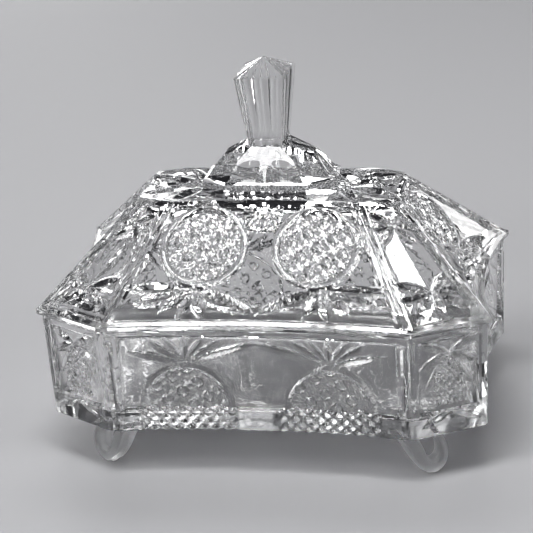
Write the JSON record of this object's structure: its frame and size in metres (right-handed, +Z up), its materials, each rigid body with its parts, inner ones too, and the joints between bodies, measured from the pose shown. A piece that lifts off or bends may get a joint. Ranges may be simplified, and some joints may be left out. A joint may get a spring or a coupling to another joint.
{
  "type": "footed glass trinket box with lid",
  "caption": "Clear pressed-glass trinket box: cut-corner bowl with inward-bowed sides on scroll feet, and a lift-off hipped lid with a stepped collar and tapered knob.",
  "frame": {"origin": "on the resting plane, under the middle of the box", "axes": "+Z up, +X along the long side, -Y towards the front"},
  "size_m": [0.1612, 0.1062, 0.1401],
  "materials": {
    "clear_glass": "polished clear pressed glass"
  },
  "bodies": {
    "base": {"base_bowl": "clear_glass", "foot_front_left": "clear_glass", "foot_front_right": "clear_glass", "foot_back_left": "clear_glass", "foot_back_right": "clear_glass"},
    "lid": {"lid_shell": "clear_glass", "knob_collar": "clear_glass", "knob": "clear_glass"}
  },
  "joints": [
    {"name": "lid_lift", "type": "slide", "parent": "base", "child": "lid", "axis": [0, 0, 1], "range_m": [0, 0.1]}
  ]
}
